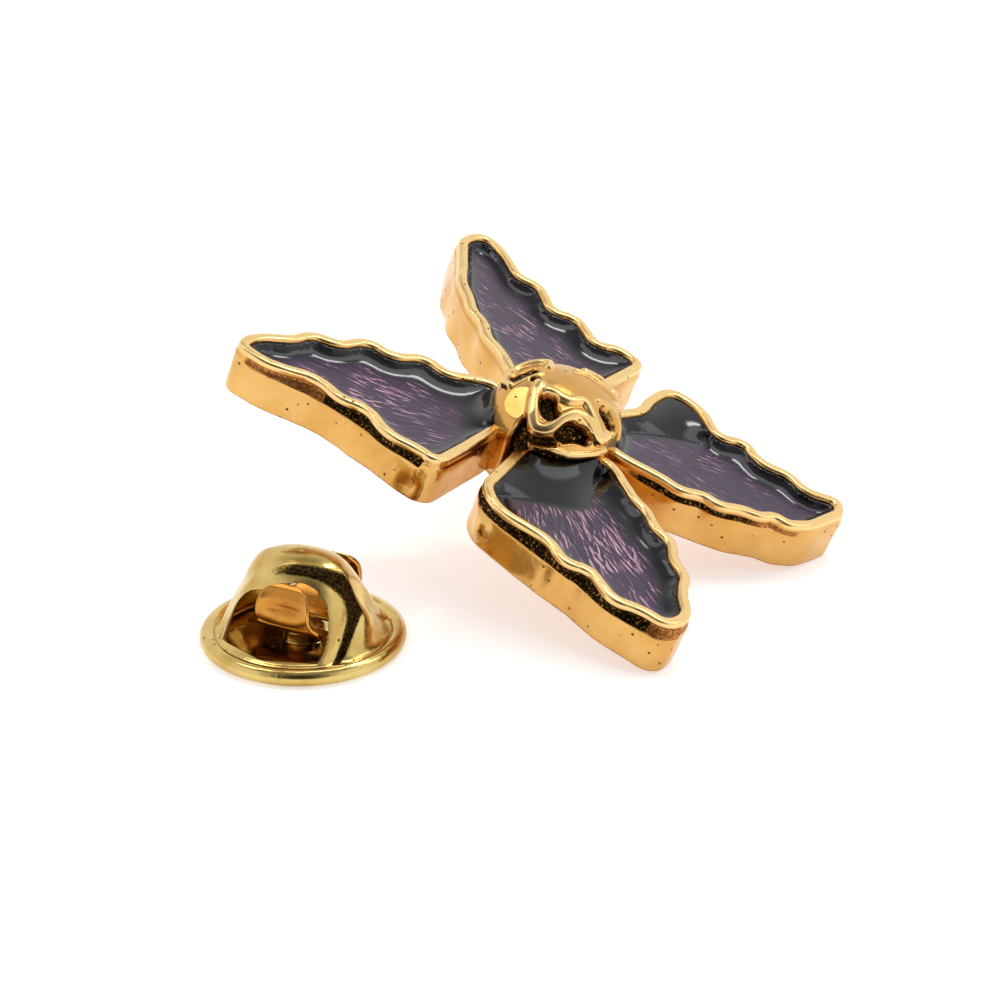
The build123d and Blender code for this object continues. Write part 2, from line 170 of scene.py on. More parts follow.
# Each wing's enamel: the point that the foil's streaks fan out from; where their painted sheen is
# strongest, how far that spreads, and how strong it is far off and there; how high the enamel
# climbs the body, where its margin at the rim is 1; and how wide that margin is beside the others.
FILLS = {
    "front_left": ((-0.9, -4.4), (-8.3, 8.0), 4.5, 0.3, 0.8, 2.1, 1.0),
    "front_right": ((8.7, -5.9), (7.6, 7.8), 3.5, 0.3, 0.7, 1.5, 0.9),
    "rear_left": ((0.1, 3.7), (-7.0, -8.2), 4.5, 0.4, 1.2, 1.4, 1.2),
    "rear_right": ((2.0, 4.9), (5.5, -6.5), 4.0, 0.3, 0.5, 1.8, 0.85),
}

# Dome of the body above the rim's top, and the relief on it. Points are on the brooch, left and
# forward, seen from above; each rib has a height and half a width, each hollow a depth and radius.
DOME_AXES = np.array([4.59, 3.97, 2.84])
DOME_MIDDLE = np.array([0.0, 0.22, RIM_TOP])
RIBS = [
    (0.34, 0.36, [(-1.8, 1.2), (-2.4, 1.0), (-3.05, 0.6), (-3.65, 0.1), (-3.93, -0.45),
                  (-3.68, -1.0), (-3.2, -1.28), (-2.6, -1.36), (-2.1, -1.5), (-1.6, -1.75),
                  (-1.32, -2.3), (-1.23, -2.92), (-0.85, -3.3), (-0.2, -3.35)]),
    (0.26, 0.28, [(-1.65, 1.42), (-1.85, 0.85), (-1.75, 0.2), (-1.45, -0.75), (-0.61, -1.28),
                  (-0.68, -1.95), (-0.88, -2.89), (-0.8, -3.2)]),
    (0.14, 0.20, [(0.6, -1.7), (1.2, -2.05), (1.6, -2.6), (1.65, -3.1), (1.4, -3.6)]),
    (0.32, 0.26, [(-2.4, 2.7), (-1.9, 3.3), (-0.5, 3.7), (0.4, 3.45), (0.95, 2.85), (0.9, 2.3),
                  (0.2, 1.95)]),
    (0.10, 0.17, [(-2.3, 2.55), (-1.7, 2.3), (-1.1, 2.05), (-0.5, 1.9), (0.1, 1.9)]),
    (0.26, 0.20, [(-3.8, -1.8), (-3.46, -2.25), (-2.73, -2.92), (-1.77, -3.4), (-0.5, -3.72)]),
    (0.18, 0.22, [(1.6, 0.8), (2.1, 0.3), (2.3, -0.4), (2.6, -1.0), (2.9, -1.6)]),
    (0.30, 0.34, [(3.4, -1.2), (3.9, -0.8), (4.0, -0.2), (3.5, 0.3), (3.1, 0.9)]),
]
HOLLOWS = [
    (0.66, 0.54, [(-2.42, 0.06), (-2.70, -0.22), (-2.84, -0.52)]),
    (0.62, 0.36, [(-3.2, -1.82), (-2.5, -1.98), (-1.95, -2.6)]),
    (0.62, 0.36, [(-3.0, -2.12), (-2.4, -2.5), (-1.8, -2.95)]),
    (0.55, 0.52, [(0.55, -2.5), (0.62, -3.12)]),
    (0.26, 0.50, [(-1.45, 3.0), (-0.98, 2.8), (-0.5, 2.6)]),
    (0.55, 0.45, [(3.2, -0.1), (3.1, -0.5)]),
    (0.14, 0.20, [(-1.45, 1.95), (-1.2, 1.7)]),
    (0.50, 0.27, [(-4.38, -0.1), (-4.33, -0.6), (-4.17, -1.05), (-3.9, -1.45), (-3.6, -1.8)]),
]


def linear(hex_colour):
    """Linear red, green, blue and alpha of an sRGB hex colour."""
    parts = [int(hex_colour[i:i + 2], 16) / 255 for i in (1, 3, 5)]
    return [p / 12.92 if p <= 0.04045 else ((p + 0.055) / 1.055) ** 2.4 for p in parts] + [1.0]


# Settings that the lengths share, and the colours.
LENGTH = {"unit": "LENGTH", "precision": 5}
COLOUR = {"subtype": "COLOR", "size": 4, "min": 0.0, "max": 1.0}


class BroochSizes(bpy.types.PropertyGroup):
    """Sizes of the brooch that may be changed."""

    enamel_edge: bpy.props.FloatProperty(
        name="Enamel Edge", description="Depth below the rim at which the enamel meets it",
        default=0.25 * MM, min=0.0, **LENGTH)
    enamel_dip: bpy.props.FloatProperty(
        name="Enamel Dip", description="How far the enamel's middle lies below its edge",
        default=0.60 * MM, min=0.0, **LENGTH)
    enamel_creep: bpy.props.FloatProperty(
        name="Enamel Creep", description="How far from the rim the enamel's raised margin reaches",
        default=0.62 * MM, min=0.1 * MM, **LENGTH)
    hand_wobble: bpy.props.FloatProperty(
        name="Hand Wobble", description="Unevenness of the hand-finished walls",
        default=0.07 * MM, min=0.0, **LENGTH)
    roll_radius: bpy.props.FloatProperty(
        name="Rolled Edge", description="Radius of the rolled edge of the clutch's base",
        default=0.50 * MM, min=0.1 * MM, **LENGTH)


class BroochColours(bpy.types.PropertyGroup):
    """Colours of the brooch that may be changed."""

    gold: bpy.props.FloatVectorProperty(
        name="Gold Plate", description="Bright gold plate of the brooch",
        default=linear("#DDAE68"), **COLOUR)
    clutch_gold: bpy.props.FloatVectorProperty(
        name="Clutch Metal", description="Paler gold of the clutch",
        default=linear("#DDC47E"), **COLOUR)
    enamel: bpy.props.FloatVectorProperty(
        name="Enamel", description="Purple of the translucent enamel",
        default=linear("#3C1244"), **COLOUR)
    # The streaks' colour is the painted highlight on the lit sides of the foil's ridges.
    streak: bpy.props.FloatVectorProperty(
        name="Streaks", description="Lighter streaks of the foil under the enamel",
        default=linear("#BE8CA4"), **COLOUR)


def add_node(tree, kind, links=None, **settings):
    """Adds a node, sets its properties, and links or fills its inputs."""
    node = tree.nodes.new(kind)
    for name, value in settings.items():
        setattr(node, name, value)
    for socket, source in (links or {}).items():
        if isinstance(source, bpy.types.Node):
            source = source.outputs[0]
        if isinstance(source, bpy.types.NodeSocket):
            tree.links.new(source, node.inputs[socket])
        else:
            node.inputs[socket].default_value = source
    return node


def ramp(tree, source, stops, interpolation="LINEAR"):
    """Colour output of a ramp with the given positions and colours."""
    node = add_node(tree, "ShaderNodeValToRGB", {"Fac": source})
    node.color_ramp.interpolation = interpolation
    while len(node.color_ramp.elements) < len(stops):
        node.color_ramp.elements.new(1.0)
    for element, (position, colour) in zip(node.color_ramp.elements, stops):
        element.position = position
        element.color = colour
    return node.outputs["Color"]


def compute(tree, operation, *values, **settings):
    """Node that computes with the given values."""
    return add_node(tree, "ShaderNodeMath", dict(enumerate(values)), operation=operation,
                    **settings)


def mixed(tree, factor, under, over, blend="MIX"):
    """Colour of one colour blended over another."""
    return add_node(tree, "ShaderNodeMix", {"Factor": factor, 6: under, 7: over},
                    data_type="RGBA", blend_type=blend).outputs[2]


def new_material(name):
    """Empty node material and its tree."""
    material = bpy.data.materials.new(name)
    material.use_nodes = True
    material.node_tree.nodes.clear()
    return material, material.node_tree


def polished_plate(name, colour, deeper, roughness, pit_depth, half_shade_hues, fleck):
    """Polished plated metal: slight waves from hand polishing, small casting pits, and the painted
    shade and painted highlight stored on the mesh.
    """
    material, tree = new_material(name)
    place = add_node(tree, "ShaderNodeTexCoord").outputs["Object"]
    # Width in mm, detail and roughness of the patches where the plating thinned, of the parts
    # that have pits, of the grain in the painted shade and of the polishing marks.
    patches, pitted, grain, waves = (
        add_node(tree, "ShaderNodeTexNoise", {
            "Vector": place, "Scale": 1 / (width * MM), "Detail": detail, "Roughness": rough})
        for width, detail, rough in ((3.0, 3.0, 0.5), (2.2, 1.0, 0.5), (0.16, 2.0, 0.6),
                                     (0.55, 2.0, 0.45)))
    # Casting pits about 0.15 mm wide and 0.7 mm apart.
    pits = add_node(tree, "ShaderNodeTexVoronoi", {
        "Vector": place, "Scale": 1 / (0.7 * MM), "Randomness": 1.0})
    pit = ramp(tree, pits, [(0.07, WHITE), (0.14, BLACK)])
    where = ramp(tree, pitted, [(0.50, BLACK), (0.56, WHITE)])
    pit = compute(tree, "MULTIPLY", pit, where)
    # Painted light stored on the mesh: above 0 painted shade, below 0 painted highlight.
    groove = add_node(tree, "ShaderNodeAttribute", attribute_name="missed").outputs["Fac"]
    painted_highlight = compute(tree, "MULTIPLY", groove, -1.0, use_clamp=True)
    # Painted shade in grooves, hollows and undercuts: dark and grainy, with bright specks.
    speck = ramp(tree, grain, [
        (0.40, linear("#130E06")), (0.58, linear("#3A2810")), (0.70, linear(fleck))])
    # Where the painted shade is weaker, it is a lighter brown grain.
    half = ramp(tree, grain, [(0.42, linear(half_shade_hues[0])), (0.62, linear(half_shade_hues[1]))])
    share = ramp(tree, groove, [(0.72, BLACK), (0.86, WHITE)])
    edge = compute(tree, "MULTIPLY_ADD", grain, 0.7, -0.35)
    dull = compute(tree, "ADD", groove, edge)
    dull = ramp(tree, dull, [(0.42, BLACK), (0.58, WHITE)])
    grainy = mixed(tree, share, half, speck)
    # The plate gets a painted highlight in paler cream, dark pits, and painted shade, dark and
    # grainy.
    shade = ramp(tree, patches, [(0.35, colour), (0.68, deeper)])
    for factor, over in ((painted_highlight, linear("#EFCB8A")), (pit, linear("#6A4218")), (dull, grainy)):
        shade = mixed(tree, factor, shade, over)
    height = compute(tree, "MULTIPLY_ADD", pit, -pit_depth, waves)
    bump = add_node(tree, "ShaderNodeBump", {
        "Strength": 1.0, "Distance": 0.018 * MM, "Height": height})
    rough = add_node(tree, "ShaderNodeMapRange", {
        "Value": patches, "From Min": 0.3, "From Max": 0.7, "To Min": roughness,
        "To Max": roughness * 1.7})
    rough = compute(tree, "MULTIPLY_ADD", dull, 0.22, rough)
    shader = add_node(tree, "ShaderNodeBsdfPrincipled", {
        "Base Color": shade, "Metallic": 1.0, "Roughness": rough, "Normal": bump})
    add_node(tree, "ShaderNodeOutputMaterial", {"Surface": shader})
    return material


def foil_enamel(name, colour, streak):
    """Translucent enamel over foil: fine streaks with painted shading and sheen under a smooth
    clear coat, and painted shade along the margins.
    """
    material, tree = new_material(name)
    place = add_node(tree, "ShaderNodeUVMap", uv_map="streaks").outputs["UV"]
    # The foil is pressed into ridges about 0.46 mm apart and 2.3 mm long, with painted shading:
    # lighter on one side of each ridge and darker on the other.
    height = []
    for shift in (0.0, 0.30):
        stretch = add_node(tree, "ShaderNodeMapping", {
            "Vector": place, "Location": (0.0, shift, 0.0),
            "Scale": (1 / (2.3 * MM), 1 / (0.46 * MM), 1.0)})
        height.append(add_node(tree, "ShaderNodeTexNoise", {
            "Vector": stretch, "Scale": 1.0, "Detail": 3.0, "Roughness": 0.6,
            "Distortion": 1.5}))
    slope = compute(tree, "SUBTRACT", *height)
    # Painted sheen: patches about 1.6 mm wide stay dull, and each wing has a part where the foil's
    # painted sheen is strongest.
    dull = add_node(tree, "ShaderNodeTexNoise", {
        "Vector": place, "Scale": 1 / (1.6 * MM), "Detail": 1.0})
    dull = add_node(tree, "ShaderNodeMapRange", {
        "Value": dull, "From Min": 0.38, "From Max": 0.62, "To Min": 0.35, "To Max": 1.3})
    bright = add_node(tree, "ShaderNodeAttribute", attribute_name="bright").outputs["Fac"]
    bright = compute(tree, "MULTIPLY", bright, dull)
    lit = compute(tree, "MULTIPLY", slope, bright)
    level = compute(tree, "MULTIPLY_ADD", bright, 0.16, 0.28)
    lit = compute(tree, "MULTIPLY_ADD", lit, 4.6, level)
    body = ramp(tree, lit, [
        (0.16, linear("#100913")), (0.46, colour), (0.54, colour), (0.95, streak)])
    # Painted shade, stored as 'thick': along the rims and the body the enamel is painted near
    # black, and the foil's ridges are flattened there.
    depth = add_node(tree, "ShaderNodeAttribute", attribute_name="thick").outputs["Fac"]
    dark = ramp(tree, depth, [(0.035, BLACK), (0.22, WHITE)], "EASE")
    shade = mixed(tree, dark, body, linear("#0E0D12"))
    bare = compute(tree, "SUBTRACT", 1.0, dark)
    bump = add_node(tree, "ShaderNodeBump", {
        "Strength": bare, "Distance": 0.08 * MM, "Height": height[0]})
    shader = add_node(tree, "ShaderNodeBsdfPrincipled", {
        "Base Color": shade, "Metallic": 0.9, "Roughness": 0.34, "Normal": bump,
        "Coat Weight": 1.0, "Coat Roughness": 0.10, "Coat IOR": 1.44})
    add_node(tree, "ShaderNodeOutputMaterial", {"Surface": shader})
    return material


def wing_outline(table, reach, grow, wave, side, arc_steps=ARC_STEPS, run_steps=RUN_STEPS):
    """Points of a wing outline in mm: the same number in the same order for every grow and wave."""
    base = [complex(across * HALF_SPAN, along * reach) for across, along, _ in table]
    count = len(base)
    turn = math.copysign(1.0, sum((base[i - 1].conjugate() * base[i]).imag for i in range(count)))

    def outward(start, end):
        return -1j * turn * (end - start) / abs(end - start)

    corners = [point + outward(base[i - 1], base[(i + 1) % count])
               * table[i][2] * (wave - 1) * SCALLOP_SWING for i, point in enumerate(base)]
    arcs = []
    for i, corner in enumerate(corners):
        before, after = corners[i - 1], corners[(i + 1) % count]
        n1, n2 = outward(before, corner), outward(corner, after)
        facing = 1 + (n1.conjugate() * n2).real
        convex = 1 if turn * (n1.conjugate() * n2).imag > 0 else -1
        half_turn = math.tan(0.5 * math.acos(max(-1.0, min(1.0, facing - 1))))
        short = min(abs(corner - before), abs(after - corner))
        radius = max(CORNER_SHARE * short / half_turn + grow * convex, LEAST_ROUND)
        start = corner + (n1 + n2) * grow / facing - 1j * turn * n1 * radius * half_turn
        middle = start - n1 * radius * convex
        a1, a2 = cmath.phase(n1 * convex), cmath.phase(n2 * convex)
        sweep = (a2 - a1 + math.pi) % (2 * math.pi) - math.pi
        arcs.append([middle + cmath.rect(radius, a1 + sweep * s / arc_steps)
                     for s in range(arc_steps + 1)])
    points = []
    for i, arc in enumerate(arcs):
        step = (arcs[(i + 1) % count][0] - arc[-1]) / run_steps
        points += arc + [arc[-1] + step * s for s in range(1, run_steps)]
    return np.array([(side * p.real, p.imag) for p in points])


def on_brooch(points):
    """Points given on the flat brooch in mm, placed where it leans, in metres."""
    c, s = math.cos(LEAN), math.sin(LEAN)
    turned = np.asarray(points, float) @ [[0, 1, 0], [-c, 0, s], [s, 0, c]]
    return turned * MM + np.array(BACK_CENTRE)


def at_clutch(points):
    """Points given round the clutch's axis in mm, placed where it stands, in metres."""
    c, s = math.cos(CLUTCH_TURN), math.sin(CLUTCH_TURN)
    turned = np.asarray(points, float) @ [[c, s, 0], [-s, c, 0], [0, 0, 1]]
    return turned * MM + np.array(CLUTCH_CENTRE)


def link_object(name, data):
    """New object of the given data, in the scene."""
    item = bpy.data.objects.new(name, data)
    bpy.context.scene.collection.objects.link(item)
    return item


def shell_mesh(name, points, faces):
    """Mesh of a closed shell, with its faces turned outward."""
    mesh = bpy.data.meshes.new(name)
    mesh.from_pydata([tuple(p) for p in points], [], [tuple(f) for f in faces])
    work = bmesh.new()
    work.from_mesh(mesh)
    bmesh.ops.recalc_face_normals(work, faces=work.faces)
    work.to_mesh(mesh)
    work.free()
    return mesh


def add_values(mesh, **layers):
    """Stores a number for each point under each given name."""
    for label, values in layers.items():
        mesh.attributes.new(label, "FLOAT", "POINT").data.foreach_set("value", values)


def finish_piece(name, mesh, material, nodes):
    """Smooth object that rides on the frame and stands for the given nodes."""
    mesh.shade_smooth()
    mesh.materials.clear()
    mesh.materials.append(material)
    mesh.polygons.foreach_set("material_index", [0] * len(mesh.polygons))
    piece = link_object(name, mesh)
    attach(piece, "root")
    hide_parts(*nodes)


def grid_faces(rows, columns, closed=True, start=0, ends=None):
    """Quads between rows of equal length, whose ends may be capped or joined to each other."""
    faces = []
    for r in range(rows if ends == "joined" else rows - 1):
        near, far = start + r * columns, start + (r + 1) % rows * columns
        for c in range(columns if closed else columns - 1):
            d = (c + 1) % columns
            faces.append((near + c, near + d, far + d, far + c))
    if ends == "capped":
        faces += [[start + row * columns + c for c in range(columns)] for row in (0, rows - 1)]
    return faces


def wobble(point, seed, spread):
    """Smooth unevenness between about -1 and 1."""
    return noise.noise(Vector(point) / spread + Vector((seed, 3.7 * seed, 1.3 * seed)))


def tray_shell(name, amount, seed, start):
    """Points and faces of one wing's wall, rim and recess as a closed shell, with its painted shade
    and highlight.
    """
    table, reach, side = WINGS[name]
    ledge, plain = ([wing_outline(table, reach, row[k], row[k + 1], side) for row in RIM_SECTION]
                    for k in (1, 4))
    columns = len(plain[0])
    corner = [i + max(s - ARC_STEPS, 0) / RUN_STEPS
              for i in range(len(table)) for s in range(ARC_STEPS + RUN_STEPS)]
    numbers, *shares = zip(*LEDGES[name])
    depth, dark = (np.interp(corner, numbers, share, period=len(table)) for share in shares)
    # The ledge's depth wavers, as it is filed by hand.
    depth *= [1 + 0.22 * wobble((i * 0.12, 0, 0), seed, 1.0) for i in range(columns)]
    points, missed = [], []
    for row, stepped, straight in zip(RIM_SECTION, ledge, plain):
        line = stepped * depth[:, None] + straight * (1 - depth[:, None])
        heights = row[0] * depth + row[3] * (1 - depth)
        tangent = np.roll(line, -1, 0) - np.roll(line, 1, 0)
        normal = tangent[:, ::-1] * (1, -1)
        normal /= np.linalg.norm(normal, axis=1)[:, None] + 1e-9
        for i, ((x, y), (nx, ny), height) in enumerate(zip(line, normal, heights)):
            push = wobble((x, y, height), seed, 2.2) + 0.5 * wobble((x, y, height), seed + 5, 0.8)
            push *= amount if height < 2.4 else amount / 2
            if height < 2.3:
                for spot, radius, sink in DENTS:
                    push -= sink * math.exp(-(math.dist((x, y, height), spot) / radius) ** 4)
            if row[1] < -0.3:
                push = 0.0
            lift = 0.5 * amount * wobble((x, y, 0), seed + 9, 1.1) if height > 2.9 else 0.0
            points.append((x + nx * push, y + ny * push, max(height + lift - 0.4 * amount, 0.0)))
            # On the ledge the painted shade is scaled by the ledge table's darkness and fades where
            # the ledge is shallow.
            on_ledge = 2.2 < row[0] < 2.85
            missed.append(row[6] * (dark[i] * min(1.0, 3 * depth[i]) if on_ledge else 1.0))
    return points, grid_faces(len(RIM_SECTION), columns, start=start, ends="capped"), missed


def smooth_line(points, steps=6):
    """Points along a Catmull-Rom curve through the given ones."""
    p = [np.array(q, float) for q in points]
    p = [2 * p[0] - p[1]] + p + [2 * p[-1] - p[-2]]
    line = []
    for i in range(1, len(p) - 2):
        for s in range(steps):
            t = s / steps
            line.append(0.5 * (2 * p[i] + (p[i + 1] - p[i - 1]) * t
                               + (2 * p[i - 1] - 5 * p[i] + 4 * p[i + 1] - p[i + 2]) * t * t
                               + (3 * p[i] - p[i - 1] - 3 * p[i + 1] + p[i + 2]) * t ** 3))
    line.append(p[-2])
    return np.array(line)


def raise_to_dome(line):
    """Puts points seen from above onto the dome."""
    flat = (line - DOME_MIDDLE[:2]) / DOME_AXES[:2]
    reach = np.linalg.norm(flat, axis=1)
    flat = np.where((reach > 0.985)[:, None], flat * 0.985 / np.maximum(reach, 1e-9)[:, None], flat)
    up = np.sqrt(np.maximum(0.0, 1 - (flat ** 2).sum(1)))
    return np.column_stack([flat, up]) * DOME_AXES + DOME_MIDDLE


def distance_to_line(points, line):
    """Least distance of each point to a chain of segments."""
    best = np.full(len(points), 1e9)
    for a, b in zip(line[:-1], line[1:]):
        ab = b - a
        t = np.clip(((points - a) @ ab) / max(ab @ ab, 1e-12), 0, 1)
        best = np.minimum(best, np.linalg.norm(points - a - t[:, None] * ab, axis=1))
    return best


def eased(share):
    """Share between 0 and 1 that starts and ends softly."""
    return share * share * (3 - 2 * share)


def body_shell():
    """Points and faces of the domed body, with its ribbon relief, and its painted shade and
    highlight.
    """
    around, up = 288, 84
    angles = [(math.pi / 2) * (1 - (j + 0.5) / up) for j in range(up)]
    # Below the rims the body goes straight down to the back.
    points, faces = lathe([(math.cos(angle), math.sin(angle)) for angle in angles]
                          + [(1.0, -0.10), (0.985, -0.20), (0.96, -0.35), (0.95, -0.65),
                             (0.94, -0.95), (0.93, -1.14)], around, "capped")
    normals = np.maximum(points, (-2, -2, 0)) / DOME_AXES
    normals /= np.linalg.norm(normals, axis=1)[:, None]
    points = np.array(points) * DOME_AXES + DOME_MIDDLE
    raised, sunk, missed, flat = np.zeros((4, len(points)))
    for height, half, line in RIBS:
        d = distance_to_line(points, raise_to_dome(smooth_line(line)))
        raised = np.maximum(raised, height * np.exp(-0.9 * (d / half) ** 4))
    for depth, radius, line in HOLLOWS:
        d = distance_to_line(points, raise_to_dome(smooth_line(line)))
        share = eased(np.clip(1.75 - d / radius * 1.4, 0, 1))
        sunk = np.maximum(sunk, depth * share)
        # Painted shade in the hollows.
        missed = np.maximum(missed, np.clip(share * 2.2 - 0.5, 0, 1))
    x, y, z = points.T
    # The gap between the wings of a side runs up into the dome as a narrowing cleft.
    down = np.clip(1.70 - (z - RIM_TOP), 0.0, 3.0)
    share = (0.06 + 0.38 * down - np.abs(y - 0.47 + 0.36 * down)) / 0.22 + 0.5
    share = eased(np.clip(share, 0, 1) * np.clip(down / 0.3, 0, 1) * (np.abs(x) > 2.5))
    sunk = np.maximum(sunk, 0.85 * share)
    # The cleft is painted with shade.
    missed = np.maximum(missed, np.minimum(2.0 * share, 1.0))
    # Under the lip at the rear the body is undercut and painted with shade.
    limit = np.interp(x, [-4.2, -3.5, -2.7, -1.8, -0.5, 0.3], [0.45, 0.35, 0.30, 0.25, 0.08, -0.3])
    under = np.clip((limit - z + RIM_TOP) / 0.10, 0, 1) * (y < -1.0) * (x < 0.3)
    sunk = np.maximum(sunk, 0.30 * under)
    missed = np.maximum(missed, under)
    # Flats left by the polishing wheel on the shoulders.
    for side in (-1, 1):
        spot = raise_to_dome(np.array([(3.1 * side, 1.3)]))[0]
        facing = np.array([0.555 * side, 0.25, 0.79])
        above = (points - spot) @ (facing / np.linalg.norm(facing)) + 0.15
        near = np.clip(2.4 - np.linalg.norm(points - spot, axis=1) / 0.75, 0, 1)
        flat = np.maximum(flat, np.maximum(above, -0.05) * eased(near))
    fine = np.array([wobble(p, 21, 1.6) for p in points]) * 0.03
    rough = np.array([wobble(p, 27, 0.30) for p in points]) * missed * 0.05
    # Painted highlight on the raised ribs, where no painted shade lies.
    missed = missed - 0.8 * np.clip(raised / 0.2, 0, 1) * (missed < 0.05)
    return points + normals * (raised - sunk - flat + fine + rough)[:, None], faces, missed


def inside(points, polygon):
    """Which points lie inside a closed polygon."""
    x, y = points.T
    found = np.zeros(len(points), bool)
    for (x1, y1), (x2, y2) in zip(polygon, np.roll(polygon, -1, 0)):
        if y1 != y2:
            found ^= ((y1 > y) != (y2 > y)) & (x < (x2 - x1) * (y - y1) / (y2 - y1) + x1)
    return found


def enamel_shell(name, sizes):
    """Points, faces, streak coordinates, painted shade and painted sheen of one wing's enamel."""
    table, reach, side = WINGS[name]
    (fx, fy), place, spread, least, most, hub_level, creep_share = FILLS[name]
    wall = wing_outline(table, reach, -0.325, 1.0, side, arc_steps=6, run_steps=4)
    closed = np.vstack([wall, wall[:1]])
    spacing = 0.14
    low, high = wall.min(0), wall.max(0)
    grid = np.array([(low[0] + (c + 0.5 * (r % 2)) * spacing, low[1] + r * spacing * 0.866)
                     for r in range(int((high[1] - low[1]) / (spacing * 0.866)) + 1)
                     for c in range(int((high[0] - low[0]) / spacing) + 1)])
    grid = grid[inside(grid, wall)]
    grid = grid[distance_to_line(grid, closed) > spacing * 0.55]
    flat = [Vector(p) for p in np.vstack([wall, grid])]
    found, _, faces, *_ = geometry.delaunay_2d_cdt(flat, [], [list(range(len(wall)))], 1, 1e-6)
    plan = np.array([tuple(p) for p in found])
    edge = distance_to_line(plan, closed) < 1e-4
    hub = (((plan - DOME_MIDDLE[:2]) / DOME_AXES[:2]) ** 2).sum(1) < 1.0
    # Towards the body the rear fills rise as a taut skin from a crease.
    fold, crease = np.zeros((2, len(plan)), bool)
    if name in CREASES:
        line, beyond = CREASES[name]
        fold = inside(plan, np.array(line + beyond))
        from_crease = distance_to_line(plan, smooth_line(line))
        crease = (from_crease < spacing * 0.5) & ~edge & ~hub
    fixed = edge | hub | crease
    pairs = {(face[k - 1], face[k]) for face in faces for k in range(len(face))}
    pairs = np.array(sorted(pairs | {(b, a) for a, b in pairs}))
    here, there = pairs.T
    step = plan[there] - plan[here]
    step /= np.linalg.norm(step, axis=1)[:, None] + 1e-9
    # The brooch leaned while the enamel set, so its margin reaches further in on one side.
    pull = 1 + 0.14 * (step @ np.array([0.917, 0.397])) * ~fold[here]
    degree = np.bincount(here, weights=pull, minlength=len(plan))
    creep = sizes.enamel_creep / MM * creep_share
    hold = spacing ** 2 / (4 * creep ** 2) * 1.5
    hold = hold * (0.8 + 2.6 * (np.abs(plan[:, 1]) / reach) ** 3) * ~fold
    given = np.where(crease, 0.0, np.where(hub & ~edge, hub_level, 1.0))
    level = np.where(fixed, given, 0.0)
    for _ in range(SETTLE_STEPS):
        total = np.bincount(here, weights=pull * level[there], minlength=len(plan))
        level = np.where(fixed, given, total / np.maximum(degree, 1e-6) / (1 + hold))
    top = RIM_TOP - (sizes.enamel_edge + sizes.enamel_dip * (1 - level)) / MM
    order = [int(np.argmin(((plan - p) ** 2).sum(1))) for p in wall]
    base, count = len(plan), len(order)
    points = [(x, y, z) for (x, y), z in zip(plan, top)]
    points += [(*plan[i], ENAMEL_FLOOR) for i in order]
    faces += [(order[i], order[(i + 1) % count], base + (i + 1) % count, base + i)
              for i in range(count)]
    faces.append([base + i for i in range(count)])
    streaks = [(math.hypot(x - fx, y - fy) * MM, math.atan2(x - fx, abs(y - fy)) * 14.0 * MM)
               for x, y, _ in points]
    # Painted shade, stored as 'thick': near black where the margin rises, on the fold and beside
    # the crease.
    thick = np.maximum(np.minimum(level, 1.0), 0.8 * fold)
    if name in CREASES:
        thick = np.maximum(thick, 0.24 * np.exp(-(from_crease / 0.35) ** 2))
    # Painted sheen of the foil, strongest round one place on each wing.
    bright = [least + (most - least) * math.exp(-(math.dist((x, y), place) / spread) ** 2)
              for x, y, _ in points]
    return points, faces, streaks, list(thick) + [1.0] * count, bright


def lathe(profile, around, ends="joined"):
    """Points and faces of a section turned about the z axis."""
    points = [(r * math.cos(2 * math.pi * i / around), r * math.sin(2 * math.pi * i / around), z)
              for r, z in profile for i in range(around)]
    return points, grid_faces(len(profile), around, ends=ends)


def rounded(profile, radius, steps=5):
    """Closed profile with each corner replaced by a curve."""
    out = []
    for i in range(len(profile)):
        a, b, c = (np.array(profile[k % len(profile)], float) for k in (i - 1, i, i + 1))
        cut = min([radius] + [0.45 * np.linalg.norm(end - b) for end in (a, c)])
        p, q = (b + (end - b) / np.linalg.norm(end - b) * cut for end in (a, c))
        for t in np.arange(steps + 1) / steps:
            out.append(tuple((1 - t) ** 2 * p + 2 * t * (1 - t) * b + t * t * q))
    return out


def rolled_edge(name, ring_radius, roll_radius, height, material):
    """Rolled edge swept round the base by a Geometry Nodes tree, as a plain mesh."""
    tree = bpy.data.node_groups.new(name, "GeometryNodeTree")
    tree.interface.new_socket("Geometry", in_out="OUTPUT", socket_type="NodeSocketGeometry")
    values = {"Ring Radius": ring_radius, "Roll Radius": roll_radius, "Height": height}
    for label, value in values.items():
        socket = tree.interface.new_socket(label, in_out="INPUT", socket_type="NodeSocketFloat")
        socket.subtype = "DISTANCE"
        socket.default_value = value
    given = add_node(tree, "NodeGroupInput").outputs
    path, section = (
        add_node(tree, "GeometryNodeCurvePrimitiveCircle", {
            "Resolution": steps, "Radius": given[label]}, mode="RADIUS")
        for steps, label in ((256, "Ring Radius"), (28, "Roll Radius")))
    swept = add_node(tree, "GeometryNodeCurveToMesh", {"Curve": path, "Profile Curve": section})
    lift = add_node(tree, "ShaderNodeCombineXYZ", {"Z": given["Height"]})
    placed = add_node(tree, "GeometryNodeTransform", {"Geometry": swept, "Translation": lift})
    real = add_node(tree, "GeometryNodeRealizeInstances", {"Geometry": placed})
    coat = add_node(tree, "GeometryNodeSetMaterial", {"Geometry": real, "Material": material})
    add_node(tree, "NodeGroupOutput", {"Geometry": coat})
    holder = link_object(name + "_holder", bpy.data.meshes.new(name + "_holder"))
    modifier = holder.modifiers.new(name, "NODES")
    modifier.node_group = tree
    for item in tree.interface.items_tree:
        if item.in_out == "INPUT":
            modifier[item.identifier] = values[item.name]
    return evaluated([holder])


